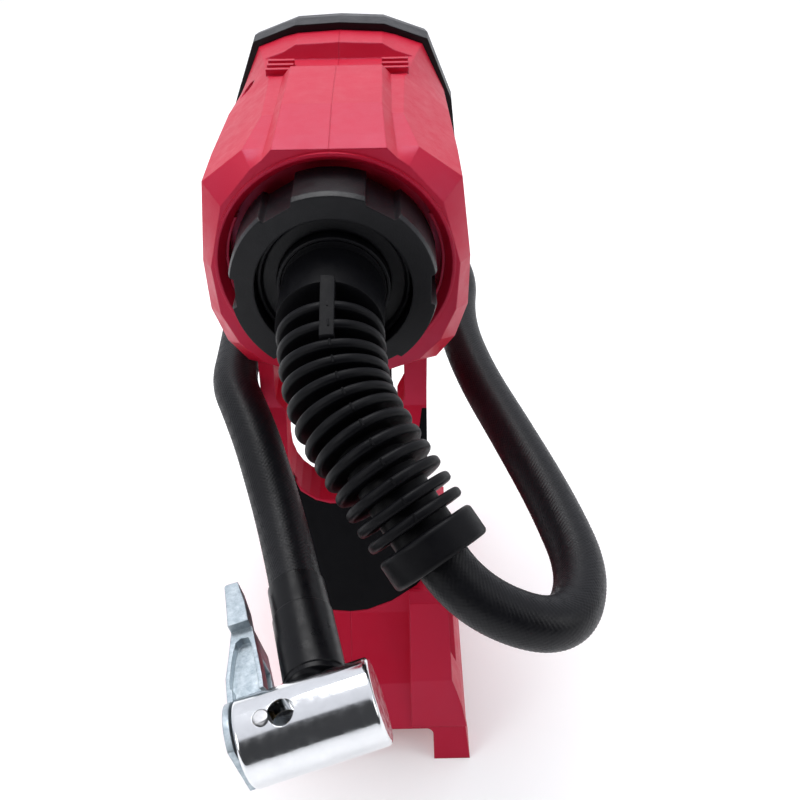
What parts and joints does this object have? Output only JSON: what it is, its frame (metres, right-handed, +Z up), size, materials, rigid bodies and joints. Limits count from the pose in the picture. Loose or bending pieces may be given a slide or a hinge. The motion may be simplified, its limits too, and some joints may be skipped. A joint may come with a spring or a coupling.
{
  "type": "air compressor",
  "caption": "Cordless handheld tyre inflator with a pistol grip, front hoop, wide battery foot and a braided hose with a lever chuck",
  "frame": {"origin": "under the middle of the tool, on the plane that its foot stands on, without the hose", "axes": "+Z up the grip, -Y out of the nose, +X to the right seen from the nose's side"},
  "size_m": [0.1251, 0.2708, 0.219],
  "materials": {
    "shell_red": "red glass-filled nylon, fine grain",
    "trim_black": "black nylon, fine grain",
    "soft_black": "black moulded elastomer",
    "hose_braid": "black rubber hose with a braided cover",
    "sleeve_black": "smooth black sleeve",
    "chrome": "bright chrome plate",
    "zinc": "zinc plated steel",
    "steel": "machined steel",
    "aluminium": "die-cast aluminium",
    "brass": "brass",
    "panel_black": "black satin panel",
    "lens": "clear smoked window",
    "board": "green circuit board",
    "button_grey": "grey silicone keys",
    "natural": "natural nylon"
  },
  "bodies": {
    "tool": {"housing_left": "shell_red", "housing_right": "shell_red", "front_panel": "soft_black", "nose_ring": "trim_black", "nose_plate": "trim_black", "hose_socket": "trim_black", "hose_boot": "soft_black", "hose": "hose_braid", "hose_sleeve": "sleeve_black", "chuck_body": "chrome", "chuck_seal": "soft_black", "chuck_core": "brass", "chuck_pin": "steel", "lock_pin": "steel", "rear_bezel": "trim_black", "display_panel": "panel_black", "display_lens": "lens", "lcd_module": "panel_black", "display_board": "board", "grip_cover": "soft_black", "trigger_spring": "steel", "trigger_switch": "trim_black", "terminal_block": "trim_black", "terminal_blades": "brass", "motor_can": "steel", "crank_bearing": "steel", "compressor_frame": "aluminium", "cylinder": "aluminium", "cylinder_head": "aluminium", "air_tube": "natural", "control_board": "board", "pressure_sensor": "trim_black", "ball_needle": "steel", "presta_adapter": "brass", "nozzle_cone": "natural", "housing_screws": "steel"},
    "trigger_key": {"trigger": "trim_black"},
    "power_key": {"power_button": "button_grey"},
    "plus_key": {"plus_button": "button_grey"},
    "minus_key": {"minus_button": "button_grey"},
    "unit_key": {"unit_button": "button_grey"},
    "lever": {"chuck_lever": "zinc"},
    "lid": {"pod_lid": "shell_red"},
    "rotor": {"motor_rotor": "steel", "pinion": "steel", "cooling_fan": "natural"},
    "crank": {"crank_gear": "natural", "crank_shaft": "steel"},
    "piston_body": {"piston": "aluminium", "piston_ring": "natural"}
  },
  "joints": [
    {"name": "trigger_pull", "type": "slide", "parent": "tool", "child": "trigger_key", "axis": [0, 1, 0], "range_m": [0, 0.0024], "stiffness_N_per_m": 1200},
    {"name": "power_press", "type": "slide", "parent": "tool", "child": "power_key", "axis": [0, -1, 0], "range_m": [0, 0.0008], "stiffness_N_per_m": 600},
    {"name": "plus_press", "type": "slide", "parent": "tool", "child": "plus_key", "axis": [0, -1, 0], "range_m": [0, 0.0008], "stiffness_N_per_m": 600},
    {"name": "minus_press", "type": "slide", "parent": "tool", "child": "minus_key", "axis": [0, -1, 0], "range_m": [0, 0.0008], "stiffness_N_per_m": 600},
    {"name": "unit_press", "type": "slide", "parent": "tool", "child": "unit_key", "axis": [0, -1, 0], "range_m": [0, 0.0008], "stiffness_N_per_m": 600},
    {"name": "lever_squeeze", "type": "hinge", "parent": "tool", "child": "lever", "pos_m": [-0.02323, -0.1357, 0.10259], "axis": [0.2407, -0.0098, -0.9706], "range_deg": [0, 6], "stiffness_Nm_per_rad": 0.6},
    {"name": "lid_hinge", "type": "hinge", "parent": "tool", "child": "lid", "pos_m": [0.034, -0.0445, 0.026], "axis": [0, 1, 0], "range_deg": [0, 80]},
    {"name": "rotor_spin", "type": "hinge", "parent": "tool", "child": "rotor", "pos_m": [0, 0.0435, 0.173], "axis": [0, 1, 0], "continuous": true},
    {"name": "crank_spin", "type": "hinge", "parent": "tool", "child": "crank", "pos_m": [0, 0.0185, 0.153], "axis": [0, 1, 0], "continuous": true},
    {"name": "piston_slide", "type": "slide", "parent": "tool", "child": "piston_body", "axis": [0, 0, 1], "range_m": [-0.012, 0]}
  ],
  "couplings": [
    {"joint": "rotor_spin", "follows": "crank_spin", "ratio": -4}
  ]
}
